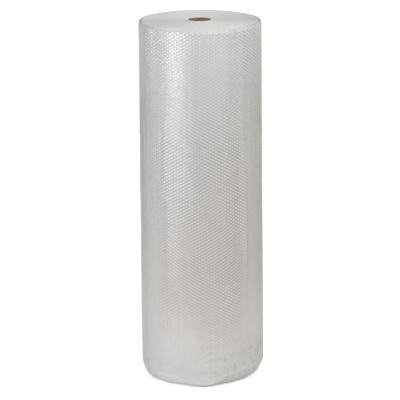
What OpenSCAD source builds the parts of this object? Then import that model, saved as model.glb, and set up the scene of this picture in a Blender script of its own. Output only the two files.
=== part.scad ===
// Roll of bubble film on a paper core, stood on end.
// The origin is on the core's axis at the foot of the roll, +Z runs up the core and -Y is the front.
// The film's turns are rings that show on both ends, and the outer one is a spiral that ends at the web's free edge.

/* [Core] */
// Bore of the paper tube
core_bore_d = 76; // [38:1:80]
// Wall of the paper tube
core_wall = 4.5; // [2:0.5:8]
// How far the tube stands up out of the wound film
core_proud = 2; // [0:0.5:10]
// Radial room between the tube and the first turn
core_fit = 0.3; // [0.2:0.1:0.5]

/* [Web] */
// Width of the film, which is the height of the standing roll
web_width = 1200; // [300:50:1500]
// Turns of film on the core
turn_count = 66; // [20:1:80]
// Thickness that each turn adds to the roll
turn_pitch = 2.4; // [2:0.1:5]
// Direction of the web's free outer edge, seen from above and counted from the right
free_edge_angle = 208; // [0:1:359]

/* [Turn edges] */
// Gap that shows between two turns on the end faces
edge_gap = 0.8; // [0.4:0.1:1.5]
// Depth of that gap
edge_gap_depth = 3; // [1:0.5:8]
// Height over which the lowest edges of the outer turns are pushed up
foot_rise = 42; // [10:1:80]
// Number of outer turns that are pushed up at the foot
foot_turns = 9; // [3:1:15]
// How far the turns wander up and down at the top
head_wander = 2; // [0:0.5:5]
// Drop of the outermost turns at the top
head_drop = 3; // [0:0.5:10]
// Number of outer turns that drop at the top
head_turns = 2; // [1:1:6]

/* [Bubbles] */
// Distance between bubbles along a column
bubble_pitch = 11; // [8:0.5:30]
// Width of a bubble
bubble_d = 9; // [6:0.5:24]
// How far the bubbles stand out of the outer turn
bubble_rise = 2.5; // [0.5:0.1:6]
// Plain film between the columns' ends and the web's edges
bubble_margin = 8; // [4:1:40]

/* [Hidden] */
$fn = 96;

core_r = core_bore_d / 2 + core_wall;
core_length = web_width + core_proud;
seat_r = core_r + core_fit;

outer_r = seat_r + turn_count * turn_pitch;
centre_shift = turn_pitch / 4;
overlap = 1;

// Angle by which the wander of the turn edges moves on from one turn to the next
wander_step = 137.5;

// Bubble columns stand in the close rows of a hexagonal pattern, so they are closer than the bubbles in a column
column_pitch = bubble_pitch * sqrt(3) / 2;
column_count = round(2 * PI * outer_r / column_pitch);
column_r = (pow(bubble_d / 2, 2) + pow(bubble_rise, 2)) / (2 * bubble_rise);
column_low = foot_rise + bubble_margin;
column_high = web_width - head_wander - head_drop - bubble_margin;

// How far the edge of one turn is pushed in, from its number counted inwards from the outside
function pushed(turns_in, rise, reach) = turns_in >= reach ? 0 : rise * pow(1 - turns_in / reach, 2);

// Lower and upper edge of the turn that lies this many turns in from the outside
function foot_z(turns_in) = pushed(turns_in, foot_rise, foot_turns);
function head_z(turns_in) =
    web_width - pushed(turns_in, head_drop, head_turns) - head_wander * (1 + cos(wander_step * turns_in)) / 2;

// One turn's edge in the radial section: a flat land, then the gap that parts it from the next turn out
function turn_edge(i, here, next, inward) = let (
    inside = seat_r + i * turn_pitch,
    outside = inside + turn_pitch
) [
    [inside, here],
    [outside - edge_gap, here],
    [outside - edge_gap / 2, (inward > 0 ? max(here, next) : min(here, next)) + inward * edge_gap_depth]
];

// Turns below the outer one, from the core outwards, as closed rings
module inner_turns() {
    inner_count = turn_count - 1;
    edge_r = seat_r + inner_count * turn_pitch;
    foot = [
        for (i = [0 : inner_count - 1])
            each turn_edge(i, foot_z(inner_count - i), foot_z(inner_count - i - 1), 1)
    ];
    head = [
        for (i = [0 : inner_count - 1])
            each turn_edge(i, head_z(inner_count - i), head_z(inner_count - i - 1), -1)
    ];
    head_inwards = [for (i = [len(head) - 1 : -1 : 0]) head[i]];
    rotate_extrude()
        polygon(concat(foot, [[edge_r, foot_z(1)], [edge_r, head_z(1)]], head_inwards));
}

// Half of the outer turn: late is 0 for the half that ends at the web's edge and 1 for the half that leads up to it
module outer_half(late) {
    half_r = outer_r - late * turn_pitch / 2;
    inside = outer_r - 1.5 * turn_pitch;
    translate([inside, foot_z(0)])
        square([half_r - inside, head_z(0) - foot_z(0)]);
}

// Outer turn, as two half turns about centres a quarter of the pitch to each side, so it climbs by one pitch
module outer_turn() {
    translate([centre_shift, 0, 0])
        rotate_extrude(angle = 180)
            outer_half(0);
    translate([-centre_shift, 0, 0])
        rotate([0, 0, 180])
            rotate_extrude(angle = 180)
                outer_half(1);
}

// A column of bubbles on the outer turn, as one upright ridge
module bubble_column(angle) {
    late = angle > 180 ? 1 : 0;
    translate([late == 0 ? centre_shift : -centre_shift, 0, column_low])
        rotate([0, 0, angle])
            translate([outer_r - late * turn_pitch / 2 + bubble_rise - column_r, 0, 0])
                cylinder(r = column_r, h = column_high - column_low, $fn = 24);
}

// The whole web: rings up to the last turn, the outer turn as a spiral with its free edge, and its bubbles
module bubble_film() {
    color([0.86, 0.87, 0.87])
        rotate([0, 0, free_edge_angle])
            union() {
                inner_turns();
                outer_turn();
                for (i = [0 : column_count - 1])
                    bubble_column((i + 0.5) * 360 / column_count);
            }
}

// The paper tube that the web is wound on
module core() {
    color([0.62, 0.5, 0.4])
        difference() {
            cylinder(r = core_r, h = core_length);
            translate([0, 0, -overlap])
                cylinder(d = core_bore_d, h = core_length + 2 * overlap);
        }
}

core();
bubble_film();
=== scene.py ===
"""Looks of a standing roll of bubble film on a paper core."""

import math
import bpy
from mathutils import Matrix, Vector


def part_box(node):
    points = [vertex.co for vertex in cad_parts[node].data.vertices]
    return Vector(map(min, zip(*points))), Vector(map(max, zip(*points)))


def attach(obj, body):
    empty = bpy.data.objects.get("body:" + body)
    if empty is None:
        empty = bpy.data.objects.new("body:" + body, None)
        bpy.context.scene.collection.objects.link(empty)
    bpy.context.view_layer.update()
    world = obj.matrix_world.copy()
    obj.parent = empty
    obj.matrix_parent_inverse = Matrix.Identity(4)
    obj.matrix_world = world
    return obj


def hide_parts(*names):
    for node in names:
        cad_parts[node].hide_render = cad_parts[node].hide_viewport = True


bl_info = {
    "name": "Bubble film roll",
    "version": (1, 0, 0),
    "blender": (4, 5, 0),
    "location": "View3D > Sidebar > Bubble roll",
    "description": "Builds a roll of clear bubble film round its packed CAD frame",
    "category": "Object",
}

from functools import partial

import bpy
import numpy as np
from mathutils import Vector

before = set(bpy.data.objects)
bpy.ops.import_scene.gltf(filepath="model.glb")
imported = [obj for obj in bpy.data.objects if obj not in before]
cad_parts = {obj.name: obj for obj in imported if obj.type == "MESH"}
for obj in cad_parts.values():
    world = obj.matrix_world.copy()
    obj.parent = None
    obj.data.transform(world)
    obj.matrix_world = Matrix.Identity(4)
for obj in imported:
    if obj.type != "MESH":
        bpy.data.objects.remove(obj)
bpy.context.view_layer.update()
_, FILM_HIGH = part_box("bubble_film")
CORE_LOW, CORE_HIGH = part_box("core")
CORE_R = (CORE_HIGH.x - CORE_LOW.x) / 2
# Width of the pale cut end of the tube; its paleness is partly painted light
CUT_END = 0.0042
# Room between the tube and the first turn
CORE_FIT = 0.0003

FULL = 2 * math.pi
FRONT = math.radians(270)
# Direction in which the foot is most ragged and the top loosest
LOOSE_SIDE = math.radians(318)

# Points round the roll, rows up the film body, and how deep its ends and its drawn-in foot lie in the turns
AROUND = 532
BODY_ROWS = 126
EDGE_INSET = 0.003
FOOT_INSET = 0.0045
# Turns inside the drawn-in ones that still hang as loose sheets at the foot
MORE_SHEETS = 7
# How far each loose sheet at the top reaches from the outer turn's edge to the web's full width
HEAD_SHARES = (0.0, 0.5, 0.8, 0.7)
SHEET_THICKNESS = 0.0005
# Plain film below the lowest bubbles, above the highest and beside the free edge
BUBBLE_MARGIN = 0.008
HEAD_MARGIN = 0.0045
EDGE_MARGIN = 0.006
# Steepest film that carries a bubble
STEEPEST = 0.34
# Heights between which the film drawn tight on both sides gives way to full bubbles
TIGHT_TOP = (0.92, 1.08)
# Middle height of the plain stretch of the free edge
EDGE_MIDDLE = 0.79

WHITE = (1.0, 1.0, 1.0)


class FilmSizes(bpy.types.PropertyGroup):
    """Sizes and colours of the wound film."""

    web_width: bpy.props.FloatProperty(
        name="Web width", description="Height of the standing roll", default=FILM_HIGH.z, unit="LENGTH"
    )
    turn_count: bpy.props.IntProperty(name="Turns", description="Turns of film on the core", default=66)
    turn_pitch: bpy.props.FloatProperty(
        name="Turn pitch", description="Thickness that each turn adds", default=0.0024, unit="LENGTH"
    )
    free_edge: bpy.props.FloatProperty(
        name="Free edge", description="Direction of the web's outer edge", default=math.radians(208), subtype="ANGLE"
    )
    bubble_pitch: bpy.props.FloatProperty(
        name="Bubble pitch", description="Distance between bubbles in a column", default=0.011, unit="LENGTH"
    )
    bubble_d: bpy.props.FloatProperty(
        name="Bubble width", description="Width of one bubble", default=0.0098, unit="LENGTH"
    )
    bubble_rise: bpy.props.FloatProperty(
        name="Bubble rise", description="How far a bubble stands out", default=0.0026, unit="LENGTH"
    )
    foot_rise: bpy.props.FloatProperty(
        name="Foot rise", description="Height of the pushed-in foot", default=0.042, unit="LENGTH"
    )
    foot_turns: bpy.props.IntProperty(name="Foot turns", description="Turns pushed up at the foot", default=9)
    head_drop: bpy.props.FloatProperty(
        name="Head drop", description="Drop of the outer turn at the top", default=0.003, unit="LENGTH"
    )
    slack: bpy.props.FloatProperty(
        name="Slack", description="How far the lower half swells", default=0.003, unit="LENGTH"
    )
    tight_from: bpy.props.FloatProperty(
        name="Tight from",
        description="Angle off the front, both ways, past which the film is drawn tight over its bubbles",
        default=math.radians(37),
        subtype="ANGLE",
    )
    film_colour: bpy.props.FloatVectorProperty(
        name="Film colour",
        description="Milky film seen many turns deep",
        default=(0.545, 0.538, 0.528),
        subtype="COLOR",
    )
    # Painted shade of the film between bubbles, in upright streaks and in creases
    gap_shade_colour: bpy.props.FloatVectorProperty(
        name="Gap colour", description="Film in the shade between bubbles", default=(0.31, 0.305, 0.30), subtype="COLOR"
    )


class StageSizes(bpy.types.PropertyGroup):
    """Floor, lamps and camera."""

    floor_colour: bpy.props.FloatVectorProperty(
        name="Floor colour", description="Plain pale floor", default=(0.86, 0.86, 0.86), subtype="COLOR"
    )
    camera_away: bpy.props.FloatProperty(
        name="Camera distance", description="Level distance from the roll's axis", default=7.8, unit="LENGTH"
    )
    camera_high: bpy.props.FloatProperty(
        name="Camera height", description="Height of the lens above the floor", default=2.498, unit="LENGTH"
    )


def film():
    return bpy.context.scene.film_sizes


def stage_sizes():
    return bpy.context.scene.stage_sizes


# Shape of the roll's outer turn


def lumps(theta, z):
    """Slow swelling of the wound film, the same all the way round."""
    rng = np.random.default_rng(11)
    out = np.zeros(np.broadcast(theta, z).shape)
    for _ in range(14):
        around, along, phase = rng.integers(1, 9), rng.uniform(-14, 14), rng.uniform(0, FULL)
        out = out + rng.uniform(0.1, 0.26) * np.cos(around * theta + along * z + phase)
    return out * 0.001


def wrapped(angle):
    """An angle between minus and plus half a turn."""
    return (angle + math.pi) % FULL - math.pi


# Direction in degrees, middle and half height in metres, width and depth in millimetres of the long front folds
FRONT_FOLDS = (
    (258.5, 0.95, 0.20, 4, -0.8),
    (254, 0.98, 0.22, 5, 0.4),
    (243, 0.90, 0.26, 4, -0.5),
    (228.5, 0.72, 0.34, 3.5, -0.6),
    (262, 0.42, 0.26, 5, -0.8),
    (240, 0.38, 0.27, 5, -1.4),
    (195, 0.76, 0.52, 3.5, -1.8),
    (201, 0.76, 0.42, 3.5, -1.5),
    (209.5, 0.79, 0.14, 3, -3),
    (309, 0.60, 0.50, 3.5, -1.1),
    (324, 0.72, 0.36, 5, -0.9),
    (331, 0.74, 0.34, 5, -1.3),
    (337, 0.62, 0.54, 4, -1.8),
    (346, 0.66, 0.50, 4, -1.6),
)


# Number, share of dents, and limits of direction in degrees, middle, half height, width, height and slant of the
# folds all round and of the short wrinkles at the foot, all round and at the right
WRINKLES = (
    (60, 0.4, (0, 360), (0.1, 1.15), (0.06, 0.3), (0.0035, 0.008), (0.0005, 0.0013), (-0.05, 0.05)),
    (150, 0, (0, 360), (0.03, 0.15), (0.012, 0.035), (0.0025, 0.005), (-0.0018, 0.0010), (-1.8, 1.8)),
    (70, 0, (286, 346), (0.035, 0.12), (0.010, 0.028), (0.0025, 0.0045), (-0.0024, 0.0013), (-1.6, 1.6)),
)


def fold(theta, z, at, middle, half, width, height, slant=0.0):
    """One long fold: where its ridge runs, how far up and down it reaches and how high it stands."""
    across = wrapped(theta - at) * roll_radius() - slant * (z - middle)
    along = np.clip(1 - ((z - middle) / half) ** 2, 0, 1)
    return height * np.exp(-((across / width) ** 2)) * along


def creases(theta, z):
    """Upright folds in the outer film, and short slanted wrinkles where it is drawn in at the foot."""
    rng = np.random.default_rng(23)
    out = np.zeros(np.broadcast(theta, z).shape)
    for count, dents, *limits in WRINKLES:
        for _ in range(count):
            sign = -1 if dents and rng.random() <= dents else 1
            at, middle, half, width, height, slant = (rng.uniform(*pair) for pair in limits)
            out = out + fold(theta, z, math.radians(at), middle, half, width, sign * height, slant)
    for angle, middle, half, width, depth in FRONT_FOLDS:
        out = out + fold(theta, z, math.radians(angle), middle, half, width / 1000, depth / 1000)
    return out


def roll_radius():
    s = film()
    return CORE_R + s.turn_count * s.turn_pitch


def column_count():
    """Upright columns of bubbles, in the close rows of a hexagonal pattern."""
    return round(FULL * roll_radius() / (film().bubble_pitch * math.sqrt(3) / 2))


def spiral_radius(theta):
    """Radius of the outer turn, which falls by one pitch on the way round from the free edge."""
    s = film()
    turn = ((theta - s.free_edge) % FULL) / FULL
    return roll_radius() + s.turn_pitch * (0.25 - turn)


def tight(theta, z):
    """Share by which the film is drawn tight over its bubbles: low down on both sides of the front."""
    s = film()
    off = np.abs(wrapped(theta - FRONT))
    beside = eased(off, s.tight_from, s.tight_from + 0.30) * (1 - eased(off, 1.35, 1.85))
    return beside * (1 - eased(z, *TIGHT_TOP))


def puffed(theta, z):
    """How full the bubbles stand, from nearly flat at the drawn-in foot to full higher up."""
    slow = 0.03 * np.cos(3 * theta + 1.0) + 0.02 * np.cos(7 * theta)
    drawn = tight(theta, z)
    start = 0.09 + 0.14 * drawn + slow
    return 0.12 + (0.88 - 0.6 * drawn) * eased(z, start, start + 0.2)


def eased(value, low, high):
    share = np.clip((value - low) / (high - low), 0, 1)
    return share * share * (3 - 2 * share)


def skin_radius(theta, z):
    """Radius of the backing film; where the bubbles are drawn flat it comes out to their tops."""
    flat = 0.85 * film().bubble_rise * (1 - puffed(theta, z))
    slack = film().slack * (1 - eased(z, 0.62, 0.98)) * eased(z, 0.015, 0.06)
    return spiral_radius(theta) + flat + slack + lumps(theta, z) + creases(theta, z)


def head_edge(theta):
    """Height of the outer turn's upper edge, which stands up a little at the back and drops at the front."""
    s = film()
    return s.web_width + s.head_drop * (0.4 - 0.7 * (1 - np.cos(theta - math.radians(115))))


def on_roll(theta, radius, z):
    return np.stack(np.broadcast_arrays(np.cos(theta) * radius, np.sin(theta) * radius, z), axis=-1)


# Meshes


def new_object(name, vertices, faces, smooth=True):
    mesh = bpy.data.meshes.new(name)
    mesh.from_pydata(np.asarray(vertices).reshape(-1, 3).tolist(), [], faces)
    mesh.validate()
    mesh.polygons.foreach_set("use_smooth", [smooth] * len(mesh.polygons))
    mesh.update()
    piece = bpy.data.objects.new(name, mesh)
    bpy.context.scene.collection.objects.link(piece)
    return piece


def grid_faces(rows, columns, closed_rows=False, closed_columns=True):
    """Quads of a grid whose rows run up and whose columns run round, facing outwards."""
    faces = []
    for i in range(rows if closed_rows else rows - 1):
        here, above = i * columns, (i + 1) % rows * columns
        for j in range(columns if closed_columns else columns - 1):
            beside = (j + 1) % columns
            faces.append((here + j, here + beside, above + beside, above + j))
    return faces


def finish_piece(piece, material, node=None):
    piece.data.materials.clear()
    piece.data.materials.append(material)
    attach(piece, "root")
    if node:
        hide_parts(node)


# Node trees


def fill(tree, node, values):
    """Links each input that is named or numbered to its socket, or gives it its value."""
    for key, value in values.items():
        if isinstance(value, bpy.types.NodeSocket):
            tree.links.new(value, node.inputs[key])
        else:
            node.inputs[key].default_value = value
    return node


def add_node(tree, kind, values=None, **settings):
    node = tree.nodes.new(kind)
    for name, value in settings.items():
        setattr(node, name, value)
    return fill(tree, node, values or {})


def math_node(tree, operation, *values):
    return add_node(tree, "ShaderNodeMath", dict(enumerate(values)), operation=operation).outputs[0]


def product(tree, first, *others):
    for other in others:
        first = math_node(tree, "MULTIPLY", first, other)
    return first


def parts(tree, vector):
    """The X, Y and Z of a vector."""
    return add_node(tree, "ShaderNodeSeparateXYZ", {0: vector}).outputs


def spread(tree, value, low, high, new_low=0.0, new_high=1.0):
    """How far a value is from low to high, as a number between the new limits."""
    limits = {"Value": value, "From Min": low, "From Max": high, "To Min": new_low, "To Max": new_high}
    return add_node(tree, "ShaderNodeMapRange", limits).outputs["Result"]


def noise(tree, place, scale, detail=2.0, distortion=0.0):
    values = {"Vector": place, "Scale": scale, "Detail": detail, "Distortion": distortion}
    return add_node(tree, "ShaderNodeTexNoise", values).outputs["Fac"]


def mix_colours(tree, factor, low, high, **settings):
    node = add_node(tree, "ShaderNodeMix", {0: factor}, data_type="RGBA", **settings)
    colours = [s for s in node.inputs if s.type == "RGBA"]
    for socket, value in zip(colours, (low, high), strict=True):
        if isinstance(value, bpy.types.NodeSocket):
            tree.links.new(value, socket)
        else:
            socket.default_value = (*value, 1.0)
    return next(s for s in node.outputs if s.type == "RGBA")


def times_colour(tree, first, second):
    return mix_colours(tree, 1.0, first, second, blend_type="MULTIPLY")


def bumped(tree, height, strength, distance):
    values = {"Height": height, "Strength": strength, "Distance": distance}
    return add_node(tree, "ShaderNodeBump", values).outputs["Normal"]


def scaled(colour, factor):
    return tuple(c * factor for c in colour)


def new_group(name, numbers, results):
    """A shader group that takes a place and named numbers and puts out masks."""
    group = bpy.data.node_groups.new(name, "ShaderNodeTree")
    add = group.interface.new_socket
    add(name="Vector", in_out="INPUT", socket_type="NodeSocketVector")
    for label, value in numbers.items():
        add(name=label, in_out="INPUT", socket_type="NodeSocketFloat").default_value = value
    for label in results:
        add(name=label, in_out="OUTPUT", socket_type="NodeSocketFloat")
    return group, group.nodes.new("NodeGroupInput").outputs, group.nodes.new("NodeGroupOutput")


# Materials


def haze_group():
    """Cloudy milkiness of film seen many turns deep, at two scales, with fine upright streaks whose mask also gives
    painted shade lines.
    """
    name = "film_haze"
    if name in bpy.data.node_groups:
        return bpy.data.node_groups[name]
    numbers = {"Wide Scale": 5.0, "Fine Scale": 60.0, "Contrast": 1.0, "Streaks": 0.6}
    group, given, result = new_group(name, numbers, ("Haze", "Height", "Streak"))
    calc = partial(math_node, group)
    wide = noise(group, given["Vector"], given["Wide Scale"], 3.0)
    fine = noise(group, given["Vector"], given["Fine Scale"], 4.0)
    drawn = add_node(group, "ShaderNodeMapping", {"Vector": given["Vector"], "Scale": (110.0, 110.0, 0.9)})
    streak = noise(group, drawn.outputs["Vector"], 1.0)
    both = calc("MULTIPLY_ADD", streak, given["Streaks"], calc("MULTIPLY_ADD", fine, 0.3, wide))
    centred = calc("SUBTRACT", both, calc("MULTIPLY_ADD", given["Streaks"], 0.5, 0.65))
    fill(group, result, {"Haze": product(group, centred, given["Contrast"]), "Height": fine, "Streak": streak})
    return group


def spots_group():
    """Mask of a turn's bubbles: one at the middle of a bubble and nought between bubbles."""
    name = "bubble_spots"
    if name in bpy.data.node_groups:
        return bpy.data.node_groups[name]
    numbers = {"Free Edge": 0.0, "Radius": 0.2, "Column Pitch": 0.0095, "Bubble Pitch": 0.011, "Bubble Width": 0.01}
    numbers |= {"Shift": 0.0, "Foot": 0.05, "Slip": 0.0, "Slip Turn": 0.0, "Slip Climb": 0.0}
    group, given, result = new_group(name, numbers, ("Spots",))
    calc = partial(math_node, group)
    values = {"Vector": given["Vector"], "Angle": calc("SUBTRACT", math.pi, given["Free Edge"])}
    turned = add_node(group, "ShaderNodeVectorRotate", values, rotation_type="Z_AXIS").outputs["Vector"]
    x, y, z = parts(group, turned)
    angle = calc("ADD", calc("ARCTAN2", y, x), math.pi)
    climb = calc("MULTIPLY_ADD", z, given["Slip Climb"], given["Slip Turn"])
    slip = product(group, calc("COSINE", calc("MULTIPLY_ADD", angle, 3.0, climb)), given["Slip"])
    lifted = calc("SUBTRACT", calc("SUBTRACT", z, given["Foot"]), slip)
    columns = calc("DIVIDE", product(group, angle, given["Radius"]), given["Column Pitch"])
    columns = calc("ADD", columns, given["Shift"])
    rows = calc("DIVIDE", lifted, given["Bubble Pitch"])

    def from_middle(count, *steps):
        """Distance from the middle of the cell that a count lies in."""
        return product(group, calc("SUBTRACT", calc("FRACT", count), 0.5), *steps)

    found = []
    for offset in (0.0, 1.0):
        across = from_middle(product(group, calc("ADD", columns, offset), 0.5), given["Column Pitch"], 2.0)
        along = from_middle(calc("ADD", rows, offset / 2), given["Bubble Pitch"])
        found.append(calc("SQRT", calc("ADD", calc("POWER", across, 2.0), calc("POWER", along, 2.0))))
    nearest = calc("DIVIDE", calc("MINIMUM", *found), given["Bubble Width"])
    fill(group, result, {"Spots": spread(group, nearest, 0.16, 0.5, 1.0, 0.0)})
    return group


def principled(name):
    """A new material, its tree, its shader and the place that its patterns read."""
    material = bpy.data.materials.new(name)
    material.use_nodes = True
    tree = material.node_tree
    return material, tree, tree.nodes["Principled BSDF"], add_node(tree, "ShaderNodeTexCoord").outputs["Object"]


def bubble_spots(tree, place, turns_down):
    """Pale spots of a turn's bubbles, between which the film is painted in shade: the outer turn's own, or the next
    turn's, which lie half a step off.
    """
    s = film()
    values = {
        "Vector": place,
        "Free Edge": s.free_edge,
        "Radius": roll_radius(),
        "Column Pitch": FULL * roll_radius() / column_count(),
        "Bubble Pitch": s.bubble_pitch,
        "Bubble Width": s.bubble_d,
        "Shift": 0.5 + 0.5 * turns_down,
        "Foot": s.foot_rise + BUBBLE_MARGIN + s.bubble_pitch / 2,
        "Slip": -s.bubble_pitch / 4 * turns_down,
        "Slip Turn": math.radians(160),
        "Slip Climb": 11.0,
    }
    return add_node(tree, "ShaderNodeGroup", values, node_tree=spots_group()).outputs["Spots"]


def tight_mask(tree, x, y, z):
    """One where the film is drawn tight on both sides of the front, as in the shape."""
    s = film()
    wide = math_node(tree, "DIVIDE", math_node(tree, "ABSOLUTE", x), roll_radius())
    beside = spread(tree, wide, math.sin(s.tight_from), math.sin(s.tight_from + 0.26))
    ahead = spread(tree, y, 0.0, -0.3 * roll_radius())
    return product(tree, beside, ahead, spread(tree, z, *TIGHT_TOP, 1.0, 0.0))


def crease_shade_lines(tree, place, x, z):
    """Painted shade: thin dark lines in the creased film low down, mostly at the right of the foot."""
    cloth = noise(tree, place, 62.0, 3.0, 0.6)
    off = math_node(tree, "ABSOLUTE", math_node(tree, "SUBTRACT", cloth, 0.5))
    lines = spread(tree, off, 0.0, 0.05, 1.0, 0.0)
    right = spread(tree, x, 0.1 * roll_radius(), 0.6 * roll_radius(), 0.12, 0.48)
    return product(tree, lines, right, spread(tree, z, 0.07, 0.15, 1.0, 0.0))


def film_material(name, gap_shades=(), lit_level=1.0, roughness=0.3, coat=0.0, flat=None, gloss=0.8):
    """Clear film over many turns of more film: pale, cloudy and glossy, with the bubbles of lower turns in it and
    painted shade between them. Lit level raises and lowers the film piece by piece, partly its own tone and partly
    painted light and shade.
    """
    s = film()
    material, tree, shader, place = principled(name)
    calc, mix = partial(math_node, tree), partial(mix_colours, tree)
    x, y, z = parts(tree, place)
    scales = {"Vector": place, "Wide Scale": 4.5, "Fine Scale": 55.0}
    haze = add_node(tree, "ShaderNodeGroup", scales, node_tree=haze_group()).outputs
    amount = spread(tree, haze["Haze"], -0.4, 0.4)

    def cloudy(dark, pale):
        return mix(amount, scaled(s.film_colour, dark), scaled(s.film_colour, pale))

    # The bubbles' own look shows where the film is full and clear of the foot, and fades where it is drawn tight
    drawn = tight_mask(tree, x, y, z)
    shiny = product(tree, spread(tree, z, 0.09, 0.38), calc("MULTIPLY_ADD", drawn, -0.7, 1.0))
    clear = product(tree, shiny, spread(tree, z, 0.80, 1.00, 1.0, 0.5))
    drawn = product(tree, drawn, spread(tree, z, 0.18, 0.42))
    even = lit_level if flat is None else flat
    plain = mix(drawn, cloudy(0.955 * even, 1.045 * even), cloudy(0.85 * even, 0.91 * even))
    colour = mix(clear, plain, cloudy(0.955 * lit_level, 1.045 * lit_level))

    # Painted shade: darker film between the bubbles of this turn and the next, in fine upright streaks and in wrinkles
    painted_shade = [
        product(tree, calc("SUBTRACT", 1.0, bubble_spots(tree, place, turns_down)), clear, strength)
        for turns_down, strength in gap_shades
    ]
    streak = spread(tree, haze["Streak"], 0.42, 0.32)
    painted_shade.append(product(tree, streak, calc("MULTIPLY_ADD", drawn, 0.4, 0.06)))
    painted_shade.append(crease_shade_lines(tree, place, x, z))
    for mask in painted_shade:
        colour = mix(mask, colour, s.gap_shade_colour)

    # Painted shade at the right edge; painted light tints: paler and cooler at the foot, warmer above it and cooler
    # towards the top; and film painted paler at the top as light glowing through
    right = spread(tree, x, 0.68 * roll_radius(), 0.88 * roll_radius())
    warm_light_tint = mix(spread(tree, z, 0.06, 0.22), (1.010, 1.026, 1.028), (1.014, 0.997, 0.986))
    painted_light_tints = (
        mix(product(tree, right, spread(tree, z, 0.28, 0.45)), WHITE, scaled(WHITE, 0.93)),
        mix(spread(tree, z, 0.45, 1.0), warm_light_tint, (0.984, 1.0, 1.008)),
        mix(spread(tree, z, 0.98, 1.20), WHITE, scaled(WHITE, 1.08)),
    )
    for light_tint in painted_light_tints:
        colour = times_colour(tree, colour, light_tint)
    values = {
        "Base Color": colour,
        "Roughness": spread(tree, haze["Height"], 0.3, 0.7, roughness - 0.03, roughness + 0.04),
        "Normal": bumped(tree, haze["Height"], 0.25, 0.001),
        "IOR": 1.5,
        "Specular IOR Level": gloss,
        "Coat Roughness": 0.14,
    }
    if coat:
        values["Coat Weight"] = product(tree, shiny, coat)
    fill(tree, shader, values)
    return material


def paper_material():
    """Brown board of the wound tube, with its plies' slanted joints; the brown is darkened as painted shade in the
    bore, and the cut end is pale, partly its own colour and partly painted light.
    """
    material, tree, shader, place = principled("kraft_tube")
    calc = partial(math_node, tree)
    fibre = noise(tree, place, 240.0, 5.0)
    x, y, z = parts(tree, place)
    helix = calc("MULTIPLY_ADD", z, 9.0, calc("DIVIDE", calc("ARCTAN2", y, x), FULL))
    seam = calc("LESS_THAN", calc("FRACT", helix), 0.03)
    # The brown is darkened as painted shade in the bore
    brown_and_bore_shade = mix_colours(tree, fibre, (0.24, 0.175, 0.132), (0.315, 0.235, 0.182))
    colour = mix_colours(tree, seam, brown_and_bore_shade, (0.15, 0.10, 0.07))
    # The pale cut end is partly its own colour and partly painted light
    outside = calc("GREATER_THAN", calc("MULTIPLY_ADD", y, y, calc("MULTIPLY", x, x)), (CORE_R - CUT_END) ** 2)
    cut_end_and_light = calc("GREATER_THAN", z, CORE_HIGH.z - 0.004)
    values = {
        "Base Color": mix_colours(tree, product(tree, cut_end_and_light, outside), colour, (0.88, 0.76, 0.67)),
        "Normal": bumped(tree, fibre, 0.4, 0.0006),
        "Roughness": spread(tree, fibre, 0.3, 0.7, 0.78, 0.95),
    }
    fill(tree, shader, values)
    return material


# Film body


def pushed(turns_in, rise, reach):
    return rise * np.clip(1 - turns_in / reach, 0, 1) ** 2


# Foot rise and foot turns that the table of the drawn-in foot is made for
SHAPE_RISE = 0.042
SHAPE_TURNS = 9
# Direction in degrees, height in metres and number of turns of the drawn-in foot
FOOT_SHAPE = (
    (0, 0.043, 13),
    (25, 0.040, 12),
    (60, 0.030, 9),
    (90, 0.022, 7),
    (120, 0.030, 10),
    (155, 0.036, 10),
    (180, 0.032, 8.5),
    (205, 0.030, 9),
    (230, 0.032, 14),
    (245, 0.034, 16),
    (252, 0.025, 14),
    (258, 0.018, 11),
    (264, 0.011, 7),
    (270, 0.009, 5),
    (277, 0.011, 7),
    (284, 0.021, 12),
    (293, 0.036, 16),
    (305, 0.045, 18),
    (320, 0.050, 19),
    (334, 0.048, 18),
    (345, 0.042, 16),
    (360, 0.042, 13),
)


def foot_height(theta, turns_in):
    """Lower edge of a turn: the outer ones are pushed up, more on the sides than at the front and back."""
    s = film()
    angle = np.degrees(np.asarray(theta)) % 360
    at, heights, reaches = zip(*FOOT_SHAPE, strict=True)
    rise = np.interp(angle, at, heights) * s.foot_rise / SHAPE_RISE
    reach = np.interp(angle, at, reaches) * s.foot_turns / SHAPE_TURNS
    wave = 0.0012 * np.cos(5 * theta + 0.9 * turns_in) + 0.0008 * np.cos(11 * theta + 2.1 * turns_in)
    fade = np.clip(1 - turns_in / (s.foot_turns + 4), 0, 1)
    return np.maximum(pushed(turns_in, rise, reach) + wave * fade, 0.0002)


def round_angles():
    theta = film().free_edge + np.arange(AROUND + 1) / AROUND * FULL
    theta[-1] -= 1e-5
    return theta


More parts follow.
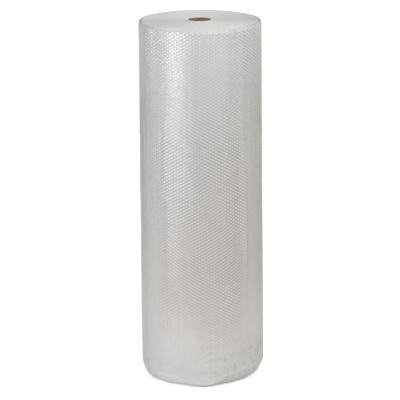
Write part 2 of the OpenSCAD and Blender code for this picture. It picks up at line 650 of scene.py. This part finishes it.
def body_profile_rows():
    """Rows of the closed film body, up the skin, over the top, down the bore and out along the foot."""
    s = film()
    theta = round_angles()
    rows = []
    skin_high = head_edge(theta)
    start = foot_height(theta, 0) + 0.0005
    low_rows = BODY_ROWS // 2
    low = np.linspace(0, 0.17, low_rows, endpoint=False)
    high = np.linspace(0.17, 1, BODY_ROWS - low_rows)
    for share in (*low, *high):
        z = start + share * (skin_high - start)
        rows.append(on_roll(theta, skin_radius(theta, z), z))
    top_r = skin_radius(theta, skin_high)
    floor_z = s.web_width - s.head_drop - EDGE_INSET
    rows.append(on_roll(theta, top_r - 0.4 * s.turn_pitch, skin_high))
    rows.append(on_roll(theta, top_r - 0.8 * s.turn_pitch, floor_z))
    bore = np.full(theta.shape, CORE_R + CORE_FIT)
    for share in (0.66, 0.33):
        rows.append(on_roll(theta, bore + share * (top_r - bore), floor_z))
    rows.append(on_roll(theta, bore, floor_z))
    rows.append(on_roll(theta, bore, EDGE_INSET))
    last = s.foot_turns + MORE_SHEETS
    outer = skin_radius(theta, start)
    rows.append(on_roll(theta, outer - (last + 0.6) * s.turn_pitch, EDGE_INSET))
    for turns_in in range(last, 0, -1):
        z = np.minimum(foot_height(theta, turns_in), foot_height(theta, turns_in - 1)) + FOOT_INSET
        rows.append(on_roll(theta, outer - (turns_in - 0.3) * s.turn_pitch, z))
    return rows


def loose_sheet(name, radius, low, high):
    """A closed thin sheet that stands round the roll between two heights."""
    theta = round_angles()
    inner = radius - SHEET_THICKNESS
    rows = [
        on_roll(theta, radius, low),
        on_roll(theta, radius, high),
        on_roll(theta, inner, high),
        on_roll(theta, inner, low),
    ]
    faces = grid_faces(len(rows), AROUND + 1, closed_rows=True, closed_columns=False)
    return new_object(name, np.array(rows), faces)


def joined(name, pieces):
    """One object from several."""
    points, faces = [], []
    for piece in pieces:
        start = len(points)
        points += [tuple(v.co) for v in piece.data.vertices]
        faces += [tuple(start + i for i in f.vertices) for f in piece.data.polygons]
        bpy.data.objects.remove(piece)
    return new_object(name, points, faces, smooth=False)


def lips(theta, turns_in):
    """Where the lower edges stand out of the drawn-in foot: mostly on the left front and on the right."""
    left = np.exp(-((wrapped(theta - math.radians(237)) / 0.34) ** 2))
    right = np.exp(-((wrapped(theta - LOOSE_SIDE) / 0.5) ** 2))
    behind = 0.7 * np.clip(np.sin(theta), 0, 1)
    return np.clip(left + right + behind + 0.2 * np.cos(5 * theta + turns_in), 0, 1)


class ROLL_OT_foot(bpy.types.Operator):
    """Hang the lower edges of the outer turns, pushed up and ragged, every second one drawn in deeper and painted
    darker as shade
    """

    bl_idname = "bubble_roll.foot"
    bl_label = "Foot edges"

    def execute(self, context):
        s = film()
        theta = round_angles()
        rng = np.random.default_rng(37)
        outer = skin_radius(theta, foot_height(theta, 0))
        ragged = np.exp(-((wrapped(theta - LOOSE_SIDE) / 0.45) ** 2))
        sheets = {"foot_turn_edges": [], "foot_deep_edges": []}
        for turns_in in range(s.foot_turns + MORE_SHEETS):
            flutter = np.zeros(theta.shape)
            for waves in (3, 5, 9, 14, 23):
                flutter += rng.uniform(0.2, 0.5) * np.cos(waves * theta + rng.uniform(0, FULL)) / math.sqrt(waves)
            for waves in (19, 31, 47, 71):
                flutter += rng.uniform(0.6, 1.3) * ragged * np.cos(waves * theta + rng.uniform(0, FULL))
            show = lips(theta, turns_in)
            deep = turns_in % 2
            low = foot_height(theta, turns_in) + 0.0012 - (0.0034 - 0.0042 * deep) * show + 0.0011 * flutter
            low = np.maximum(low, 0.0)
            radius = outer - turns_in * s.turn_pitch + 0.0004 * flutter + (0.0008 - 0.0016 * deep) * show
            name = "foot_deep_edges" if deep else "foot_turn_edges"
            sheets[name].append(loose_sheet(f"{name}_{turns_in}", radius, low, low + 0.008))
        # The sheets drawn in deeper are a darker copy of the film: painted shade
        for name, lit_level in (("foot_turn_edges", 1.02), ("foot_deep_edges", 0.80)):
            piece = joined(name, sheets[name])
            material = film_material(name.replace("edges", "film"), lit_level=lit_level, roughness=0.35)
            finish_piece(piece, material)
        return {"FINISHED"}


class ROLL_OT_free_edge(bpy.types.Operator):
    """Lay the plain margin of the web's free outer edge, a little lifted and painted darker as the shade under it"""

    bl_idname = "bubble_roll.free_edge"
    bl_label = "Free edge"

    def execute(self, context):
        s = film()
        z = np.linspace(0.05, s.web_width - s.head_drop - 0.001, 120)
        across = np.array([-0.001, 0.0005, 0.002, 0.0035, 0.005])
        above = z - EDGE_MIDDLE
        lift = 0.0003 + 0.0015 * np.exp(-((above / 0.10) ** 2)) + 0.0002 * np.cos(31 * z) + 0.0001 * np.cos(77 * z)
        shown = 0.3 + 0.7 * np.exp(-((above / np.where(z > EDGE_MIDDLE, 0.27, 0.11)) ** 4))
        front, back = [], []
        for height, rise, share in zip(z, lift, shown, strict=True):
            theta = s.free_edge + across * share / roll_radius()
            base = skin_radius(s.free_edge + np.maximum(across * share, 0.0002) / roll_radius(), height)
            radius = base + rise * np.clip(1 - (across / 0.005) ** 2, 0, 1) * (across < 0.0045) + 0.0001
            front.append(on_roll(theta, radius, height))
            back.append(on_roll(theta, radius - SHEET_THICKNESS, height))
        count = len(across)
        rows = np.concatenate([np.array(front), np.array(back)[:, ::-1]], axis=1)
        faces = grid_faces(len(z), 2 * count)
        faces.append(tuple(reversed(range(2 * count))))
        faces.append(tuple((len(z) - 1) * 2 * count + i for i in range(2 * count)))
        margin = new_object("free_edge_margin", rows, faces)
        # The margin is a darker copy of the film: painted shade under its lifted edge
        finish_piece(margin, film_material("margin_film", lit_level=0.72, roughness=0.7))
        return {"FINISHED"}


class ROLL_OT_head(bpy.types.Operator):
    """Loosen the upper edges of the outer turns"""

    bl_idname = "bubble_roll.head"
    bl_label = "Head edges"

    def execute(self, context):
        s = film()
        theta = round_angles()
        loose = np.clip(np.cos(theta - LOOSE_SIDE), 0, 1) ** 2
        sheets = []
        for turns_in, share in enumerate(HEAD_SHARES):
            wave = 0.0006 * np.cos(4 * theta + 1.7 * turns_in) + 0.0004 * np.cos(9 * theta + turns_in)
            top = head_edge(theta) * (1 - share) + s.web_width * share + wave - 0.0003
            radius = skin_radius(theta, top) - 0.0003 - turns_in * s.turn_pitch * (1 + 0.5 * loose)
            sheets.append(loose_sheet(f"head_turn_{turns_in}", radius, top - 0.012, np.minimum(top, s.web_width)))
        piece = joined("head_turn_edges", sheets)
        # The loose top edges are a paler copy of the film: painted light on the rim
        finish_piece(piece, film_material("head_film", lit_level=1.28, roughness=0.32, coat=0.8))
        return {"FINISHED"}


class ROLL_OT_film_body(bpy.types.Operator):
    """Build the body of wound film, with the step of its free edge"""

    bl_idname = "bubble_roll.film_body"
    bl_label = "Film body"

    def execute(self, context):
        rows = body_profile_rows()
        body = new_object("film_body", np.array(rows), grid_faces(len(rows), AROUND + 1, closed_rows=True))
        gap_shades = ((0, 0.62), (1, 0.56))
        material = film_material("milky_film", gap_shades, lit_level=1.19, roughness=0.38, flat=0.96, gloss=0.45)
        finish_piece(body, material, "bubble_film")
        return {"FINISHED"}


# Bubbles


def dome_mesh(segments=7):
    """One squashed bubble, unit wide and unit high, closed underneath."""
    rings = ((1.0, -0.15), (0.90, 0.62), (0.55, 0.97))
    points = []
    for radius, height in rings:
        for i in range(segments):
            angle = i / segments * FULL
            points.append((radius / 2 * math.cos(angle), radius / 2 * math.sin(angle), height))
    faces = grid_faces(len(rings), segments)
    faces.append(tuple(reversed(range(segments))))
    points.append((0, 0, 1.0))
    last = (len(rings) - 1) * segments
    for i in range(segments):
        faces.append((last + i, last + (i + 1) % segments, len(points) - 1))
    bubble = new_object("bubble_pattern", points, faces)
    bubble.data.polygons.foreach_set("use_smooth", [i < len(faces) - segments for i in range(len(faces))])
    return bubble


def bubble_points(low, high):
    """Places, outward directions and puffiness of the bubbles between two heights."""
    s = film()
    columns = column_count()
    first = s.foot_rise + BUBBLE_MARGIN
    rows = int((s.web_width - s.head_drop - first) / s.bubble_pitch)
    column, row = np.meshgrid(np.arange(columns), np.arange(rows), indexing="ij")
    theta = s.free_edge + (column + 0.5) / columns * FULL
    z = first + (row + 0.5 * (column % 2)) * s.bubble_pitch
    from_edge = ((theta - s.free_edge) % FULL) * roll_radius()
    keep = (z >= low) & (z < high) & (z < head_edge(theta) - HEAD_MARGIN) & (from_edge > EDGE_MARGIN)
    theta, z = theta[keep], z[keep]
    step = 0.0015
    radius = skin_radius(theta, z)
    along = (skin_radius(theta, z + step) - skin_radius(theta, z - step)) / (2 * step)
    round_step = step / roll_radius()
    across = (skin_radius(theta + round_step, z) - skin_radius(theta - round_step, z)) / (2 * step)
    whole = np.abs(across) + np.abs(along) < STEEPEST
    theta, z, radius, along, across = theta[whole], z[whole], radius[whole], along[whole], across[whole]
    out = np.stack([np.cos(theta), np.sin(theta), np.zeros_like(theta)], axis=1)
    side = np.stack([-np.sin(theta), np.cos(theta), np.zeros_like(theta)], axis=1)
    lie = out - across[:, None] * side - along[:, None] * np.array([0, 0, 1.0])
    lie /= np.linalg.norm(lie, axis=1)[:, None]
    return on_roll(theta, radius, z), lie, puffed(theta, z)


def new_tree(name, inputs):
    """A Geometry Nodes tree with a geometry, the named inputs and a material to put on."""
    tree = bpy.data.node_groups.new(name, "GeometryNodeTree")
    tree.is_modifier = True
    add = tree.interface.new_socket
    for label, kind in (("Geometry", "Geometry"), *inputs, ("Material", "Material")):
        add(name=label, in_out="INPUT", socket_type=f"NodeSocket{kind}")
    add(name="Geometry", in_out="OUTPUT", socket_type="NodeSocketGeometry")
    return tree, tree.nodes.new("NodeGroupInput").outputs


def end_tree(tree, geometry, material):
    """Ends a tree with its instances made real and the material on them."""
    real = add_node(tree, "GeometryNodeRealizeInstances", {"Geometry": geometry}).outputs[0]
    dressed = add_node(tree, "GeometryNodeSetMaterial", {"Geometry": real, "Material": material}).outputs[0]
    add_node(tree, "NodeGroupOutput", {"Geometry": dressed})
    return tree


def run_tree(piece, tree, values):
    """Applies a Geometry Nodes tree and leaves a plain mesh in its place."""
    modifier = piece.modifiers.new("shape", "NODES")
    modifier.node_group = tree
    for item in tree.interface.items_tree:
        if item.in_out == "INPUT" and item.name in values:
            modifier[item.identifier] = values[item.name]
    graph = bpy.context.evaluated_depsgraph_get()
    made = bpy.data.meshes.new_from_object(piece.evaluated_get(graph), preserve_all_data_layers=True, depsgraph=graph)
    piece.modifiers.remove(modifier)
    old = piece.data
    piece.data = made
    made.name = piece.name
    bpy.data.meshes.remove(old)


def bubble_tree():
    """Sets a bubble on every point, turned to its direction and puffed by its own amount."""
    inputs = (("Bubble", "Object"), ("Width", "Float"), ("Rise", "Float"), ("Seed", "Int"))
    tree, given = new_tree("bubbles_on_film", inputs)
    add = partial(add_node, tree)

    def named(label, kind):
        node = add("GeometryNodeInputNamedAttribute", {"Name": label}, data_type=kind)
        return next(o for o in node.outputs if o.enabled and o.name == "Attribute")

    def chance(low, high, seed_shift):
        seed = math_node(tree, "ADD", given["Seed"], seed_shift)
        node = add("FunctionNodeRandomValue", {"Seed": seed}, data_type="FLOAT")
        limits = [s for s in node.inputs if s.enabled and s.name in ("Min", "Max")]
        for socket, value in zip(limits, (low, high), strict=True):
            socket.default_value = value
        return next(o for o in node.outputs if o.enabled)

    source = add("GeometryNodeObjectInfo", {"Object": given["Bubble"]}).outputs["Geometry"]
    lie = {"Vector": named("lie", "FLOAT_VECTOR")}
    turn = add("FunctionNodeAlignRotationToVector", lie, axis="Z").outputs["Rotation"]
    width = product(tree, given["Width"], chance(0.96, 1.03, 1))
    puff = product(tree, given["Rise"], chance(0.9, 1.06, 2), named("puff", "FLOAT"))
    size = add("ShaderNodeCombineXYZ", {"X": width, "Y": width, "Z": puff}).outputs[0]
    values = {"Points": given["Geometry"], "Instance": source, "Rotation": turn, "Scale": size}
    return end_tree(tree, add("GeometryNodeInstanceOnPoints", values).outputs["Instances"], given["Material"])


class ROLL_OT_bubbles(bpy.types.Operator):
    """Set the outer turn's bubbles on the film, in four bands"""

    bl_idname = "bubble_roll.bubbles"
    bl_label = "Bubbles"

    def execute(self, context):
        s = film()
        looks = {"lit_level": 1.31, "roughness": 0.36, "coat": 1.0, "flat": 0.95, "gloss": 0.3}
        material = film_material("bubble_dome_film", ((1, 0.70),), **looks)
        pattern, tree = dome_mesh(), bubble_tree()
        bands = 4
        for i in range(bands):
            low, high = i / bands * s.web_width, (i + 1) / bands * s.web_width
            points, lie, puff = bubble_points(low, high)
            band = new_object(f"outer_bubbles_{i + 1}", points, [])
            for label, kind, key, data in (("lie", "FLOAT_VECTOR", "vector", lie), ("puff", "FLOAT", "value", puff)):
                band.data.attributes.new(label, kind, "POINT").data.foreach_set(key, np.ascontiguousarray(data).ravel())
            values = {"Bubble": pattern, "Width": s.bubble_d, "Rise": s.bubble_rise, "Seed": i, "Material": material}
            run_tree(band, tree, values)
            finish_piece(band, material)
        bpy.data.objects.remove(pattern)
        return {"FINISHED"}


# Turn edges on the two ends


def turns_tree():
    """A spiral of upright film edges, plain or scalloped by its bubbles."""
    numbers = ("Turns", "Start Radius", "End Radius", "Step", "Scallop", "Bubble Pitch")
    inputs = [(label, "Float") for label in (*numbers, "Wander", "Thickness", "Height")]
    inputs += [("Place", "Vector"), ("Turn", "Vector")]
    tree, given = new_tree("turn_edges", inputs)
    add, calc = partial(add_node, tree), partial(math_node, tree)

    def move(operation, *values, **named):
        settings = {**dict(enumerate(values)), **named}
        return add("ShaderNodeVectorMath", settings, operation=operation).outputs["Vector"]

    values = {"Resolution": 90, "Height": 0.0, "Rotations": given["Turns"]}
    values |= {label: given[label] for label in ("Start Radius", "End Radius")}
    values = {"Curve": add("GeometryNodeCurveSpiral", values).outputs["Curve"], "Length": given["Step"]}
    even = add("GeometryNodeResampleCurve", values, mode="LENGTH").outputs["Curve"]
    length = add("GeometryNodeSplineParameter").outputs["Length"]
    wave = calc("SINE", calc("MULTIPLY", calc("DIVIDE", length, given["Bubble Pitch"]), math.pi))
    bulge = calc("MULTIPLY", calc("POWER", calc("ABSOLUTE", wave), 0.6), given["Scallop"])
    drift = add("ShaderNodeTexNoise", {"W": length, "Scale": 2.3}, noise_dimensions="1D").outputs["Fac"]
    rise = calc("MULTIPLY", calc("SUBTRACT", drift, 0.5), given["Wander"])
    outward = move("SCALE", move("NORMALIZE", add("GeometryNodeInputPosition").outputs["Position"]), Scale=bulge)
    offset = move("ADD", outward, add("ShaderNodeCombineXYZ", {"Z": rise}).outputs[0])
    shifted = add("GeometryNodeSetPosition", {"Geometry": even, "Offset": offset}).outputs["Geometry"]
    upright = add("GeometryNodeSetCurveNormal", {"Curve": shifted}, mode="Z_UP").outputs["Curve"]
    values = {"Width": given["Thickness"], "Height": given["Height"]}
    section = add("GeometryNodeCurvePrimitiveQuadrilateral", values).outputs["Curve"]
    values = {"Curve": upright, "Profile Curve": section, "Fill Caps": True}
    solid = add("GeometryNodeCurveToMesh", values).outputs["Mesh"]
    values = {"Geometry": solid, "Translation": given["Place"], "Rotation": given["Turn"]}
    return end_tree(tree, add("GeometryNodeTransform", values).outputs["Geometry"], given["Material"])


class ROLL_OT_turn_edges(bpy.types.Operator):
    """Wind the turn edges that show on both ends of the roll"""

    bl_idname = "bubble_roll.turn_edges"
    bl_label = "Turn edges"

    def execute(self, context):
        s = film()
        # The turn edges are a paler copy of the film: painted light on both ends
        material = film_material("film_edge", lit_level=1.24, roughness=0.34)
        tree = turns_tree()
        head_z = s.web_width - 0.0052
        turns = s.turn_count - len(HEAD_SHARES)
        foot_turns = s.turn_count - s.foot_turns - MORE_SHEETS
        ribbons = (
            ("head_backing_edges", turns, 0.0, 0.010, 0.0, head_z, 0.008),
            ("head_formed_edges", turns, 0.0002, 0.0032, 0.0013, head_z, 0.008),
            ("foot_backing_edges", foot_turns, 0.0, 0.016, 0.0, 0.0041, 0.0075),
        )
        for name, count, start, step, scallop, middle, height in ribbons:
            ribbon = new_object(name, np.zeros((1, 3)), [])
            first = CORE_R + 0.0012 + start
            values = {
                "Turns": float(count),
                "Start Radius": first,
                "End Radius": first + count * s.turn_pitch,
                "Step": step,
                "Scallop": scallop,
                "Bubble Pitch": s.bubble_pitch,
                "Wander": 0.0024 if name.startswith("head") else 0.0,
                "Thickness": 0.0008,
                "Height": height,
                "Place": (0.0, 0.0, middle),
                "Turn": (0.0, 0.0, s.free_edge),
                "Material": material,
            }
            run_tree(ribbon, tree, values)
            ribbon.data.polygons.foreach_set("use_smooth", [False] * len(ribbon.data.polygons))
            finish_piece(ribbon, material)
        return {"FINISHED"}


class ROLL_OT_core(bpy.types.Operator):
    """Finish the paper tube"""

    bl_idname = "bubble_roll.core"
    bl_label = "Paper core"

    def execute(self, context):
        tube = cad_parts["core"]
        tube.data.materials.clear()
        tube.data.materials.append(paper_material())
        return {"FINISHED"}


# Stage

# Name, direction from the front in degrees, distance, lower and upper edge, width and watts of each window in the gloss
GLOSS_STRIPS = (
    ("0", -98, 3, 0.48, 0.95, 0.36, 5),
    ("1", -71.5, 3, 0.20, 0.90, 0.20, 5),
    ("2", -52.5, 3, 0.47, 1.30, 0.26, 26.5),
    ("3", -57, 3, 0.02, 0.60, 0.28, 3),
    ("4", -42, 3, 0.47, 1.30, 0.22, 22),
    ("5", -44.5, 3, 0.02, 0.60, 0.22, 5),
    ("6", -31.5, 3, 0.02, 1.20, 0.20, 19),
    ("7", -22.5, 3, 0.10, 0.90, 0.18, 8),
    ("8", -62, 3, 0.10, 1.20, 0.14, 7),
    ("9", -87, 3, 0.50, 1.40, 1.00, 9),
    ("10", 35, 3, 0.65, 0.80, 0.14, 3.5),
    ("wide", -46, 3, 0.05, 1.60, 1.60, 13),
    ("low", -52, 1.2, 0.05, 0.40, 0.30, 2.2),
)
WINDOW_COLOUR = (0.98, 0.97, 1.0)

# Name, place, target, size, watts, colour and whether the gloss shows each of the other lamps
FILL_LAMPS = (
    ("upper_fill", (0.0, -0.75, 1.75), (0, 0, 1.08), (1.3, 0.25), 0.5, (0.82, 0.92, 1.0), True),
    ("overhead", (0.9, -1.2, 3.0), (0, 0, 1.1), (1.4, 1.4), 21, (0.93, 0.97, 1.0), True),
    ("front_fill", (1.1, -4.3, 1.8), (0, 0, 0.62), (2.0, 2.0), 33, (1.0, 0.95, 0.90), True),
    ("low_fill", (0.7, -1.5, 0.50), (0, 0, 0.46), (0.6, 0.4), 0.9, (1.0, 0.78, 0.70), False),
    ("low_left_fill", (-1.1, -0.55, 0.16), (0, 0, 0.16), (0.4, 0.3), 1.25, (0.94, 0.97, 1.0), False),
    ("back_fill", (-0.1, 3.8, 0.60), (0, 0, 0.60), (1.2, 1.1), 24, (0.98, 0.98, 1.0), False),
)
FLOOR_HALF = 25.0
# Lens and sensor in millimetres, and the camera's turns in degrees
LENS = 216.5
SENSOR = 36.0
CAMERA_TURNS = (90 - 13.73, 0.5, -0.091)


def lamp(name, place, target, size, power, colour):
    light = bpy.data.lights.new(name, "AREA")
    light.shape = "RECTANGLE"
    light.size, light.size_y = size
    light.energy = power
    light.color = colour
    item = bpy.data.objects.new(name, light)
    bpy.context.scene.collection.objects.link(item)
    item.location = place
    item.visible_camera = False
    item.rotation_mode = "QUATERNION"
    item.rotation_quaternion = (Vector(target) - item.location).to_track_quat("-Z", "Y")
    return item


def seen_only(tree, in_gloss):
    """One for rays from the camera or through glass, less off a gloss, and nought for light on the object."""
    path = add_node(tree, "ShaderNodeLightPath").outputs
    first = math_node(tree, "MAXIMUM", path["Is Camera Ray"], product(tree, path["Is Glossy Ray"], in_gloss))
    return math_node(tree, "MAXIMUM", first, path["Is Transmission Ray"])


def room_light(tree):
    """Soft light of the room, stronger from the front and from above than from behind."""
    way = add_node(tree, "ShaderNodeTexCoord").outputs["Generated"]
    values = {0: way, 1: (0.0, -0.75, 0.66)}
    ahead = add_node(tree, "ShaderNodeVectorMath", values, operation="DOT_PRODUCT").outputs["Value"]
    side = spread(tree, parts(tree, way)["X"], -0.7, 0.7)
    lit_level = mix_colours(tree, side, (0.88, 0.90, 0.91), (0.88, 0.82, 0.795))
    return mix_colours(tree, spread(tree, ahead, -0.6, 0.8), (0.20, 0.20, 0.20), lit_level)


def floor_material():
    """Pale matte floor that reads as white where no shadow falls."""
    material, tree, shader, place = principled("pale_floor")
    pale = stage_sizes().floor_colour
    values = {
        "Base Color": mix_colours(tree, noise(tree, place, 3.0), pale, scaled(pale, 1.02)),
        "Roughness": 0.9,
        "Specular IOR Level": 0.1,
        "Emission Strength": 1.0,
        "Emission Color": mix_colours(tree, seen_only(tree, 0.05), (0.0, 0.0, 0.0), (0.57, 0.57, 0.57)),
    }
    fill(tree, shader, values)
    return material


class ROLL_OT_stage(bpy.types.Operator):
    """Lay the floor and set the lamps, world and camera"""

    bl_idname = "bubble_roll.stage"
    bl_label = "Stage"

    def execute(self, context):
        sizes = stage_sizes()
        corners = [(x * FLOOR_HALF, y * FLOOR_HALF, 0) for x, y in ((-1, -1), (1, -1), (1, 1), (-1, 1))]
        ground = new_object("floor", corners, [(0, 1, 2, 3)], smooth=False)
        ground.data.materials.append(floor_material())
        lamp("key_strip", (-2.3, -1.7, 0.76), (0, 0, 0.76), (0.5, 1.45), 5.3, WHITE)
        for name, along, far, low, high, wide, power in GLOSS_STRIPS:
            turn, middle = math.radians(along), (low + high) / 2
            away = (far * math.sin(turn), -far * math.cos(turn), middle)
            window = lamp(f"gloss_window_{name}", away, (0, 0, middle), (wide, high - low), power, WINDOW_COLOUR)
            window.visible_diffuse = False
        for *values, in_gloss in FILL_LAMPS:
            lamp(*values).visible_glossy = in_gloss
        world = bpy.data.worlds.new("soft_white")
        bpy.context.scene.world = world
        world.use_nodes = True
        tree = world.node_tree
        sky = mix_colours(tree, seen_only(tree, 0.6), room_light(tree), WHITE)
        fill(tree, tree.nodes["Background"], {"Color": sky})
        camera = bpy.data.cameras.new("camera")
        camera.sensor_width = SENSOR
        camera.lens = LENS
        camera.clip_end = 4 * FLOOR_HALF
        eye = bpy.data.objects.new("camera", camera)
        bpy.context.scene.collection.objects.link(eye)
        eye.rotation_mode = "XYZ"
        eye.location = (0.0, -sizes.camera_away, sizes.camera_high)
        eye.rotation_euler = [math.radians(turn) for turn in CAMERA_TURNS]
        bpy.context.scene.camera = eye
        bpy.context.scene.view_settings.view_transform = "Standard"
        return {"FINISHED"}


class ROLL_PT_panel(bpy.types.Panel):
    """Lists the sizes and the pieces of the roll."""

    bl_idname = "ROLL_PT_panel"
    bl_label = "Bubble roll"
    bl_space_type = "VIEW_3D"
    bl_region_type = "UI"
    bl_category = "Bubble roll"

    def draw(self, context):
        for group in (context.scene.film_sizes, context.scene.stage_sizes):
            for name in group.__annotations__:
                self.layout.prop(group, name)
        for step in STEPS:
            self.layout.operator(step.bl_idname)


STEPS = (
    ROLL_OT_stage,
    ROLL_OT_film_body,
    ROLL_OT_bubbles,
    ROLL_OT_turn_edges,
    ROLL_OT_foot,
    ROLL_OT_free_edge,
    ROLL_OT_head,
    ROLL_OT_core,
)
CLASSES = (FilmSizes, StageSizes, *STEPS, ROLL_PT_panel)


def register():
    for item in CLASSES:
        bpy.utils.register_class(item)
    bpy.types.Scene.film_sizes = bpy.props.PointerProperty(type=FilmSizes)
    bpy.types.Scene.stage_sizes = bpy.props.PointerProperty(type=StageSizes)


def unregister():
    del bpy.types.Scene.stage_sizes
    del bpy.types.Scene.film_sizes
    for item in reversed(CLASSES):
        bpy.utils.unregister_class(item)


def main():
    register()
    bpy.ops.bubble_roll.stage()
    bpy.ops.bubble_roll.film_body()
    bpy.ops.bubble_roll.bubbles()
    bpy.ops.bubble_roll.turn_edges()
    bpy.ops.bubble_roll.foot()
    bpy.ops.bubble_roll.free_edge()
    bpy.ops.bubble_roll.head()
    bpy.ops.bubble_roll.core()


if __name__ == "__main__":
    main()
